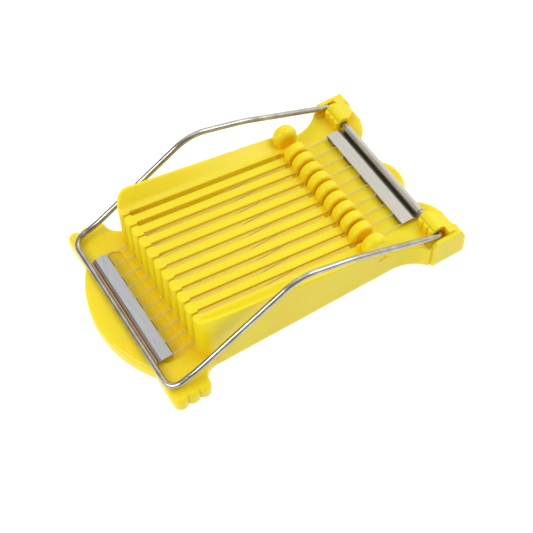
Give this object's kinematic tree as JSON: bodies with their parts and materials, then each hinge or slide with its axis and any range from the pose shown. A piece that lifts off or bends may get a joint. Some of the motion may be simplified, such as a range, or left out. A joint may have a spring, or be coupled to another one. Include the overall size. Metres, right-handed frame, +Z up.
{
  "type": "egg slicer",
  "caption": "Tabletop slicer: moulded animal-shaped base with a slotted sloping tray and a hinged steel bail that swings cutting wires down through the slots.",
  "frame": {"origin": "on the table, under the middle of the object's bounding box", "axes": "+X along the object from the head end to the hinge end, +Y across it, +Z up"},
  "size_m": [0.2, 0.1272, 0.0529],
  "materials": {
    "moulded_base": "satin gloss",
    "bail_rod": "polished",
    "sheet_strip": "brushed",
    "wire": "drawn"
  },
  "bodies": {
    "base": {"base": "moulded_base"},
    "cutter": {"bail": "bail_rod", "front_strip": "sheet_strip", "rear_strip": "sheet_strip", "cutting_wire_01": "wire", "cutting_wire_02": "wire", "cutting_wire_03": "wire", "cutting_wire_04": "wire", "cutting_wire_05": "wire", "cutting_wire_06": "wire", "cutting_wire_07": "wire", "cutting_wire_08": "wire", "cutting_wire_09": "wire", "cutting_wire_10": "wire"}
  },
  "joints": [
    {"name": "bail_hinge", "type": "hinge", "parent": "base", "child": "cutter", "pos_m": [0.0855, 0, 0.0188], "axis": [0, 1, 0], "range_deg": [0, 90]}
  ]
}
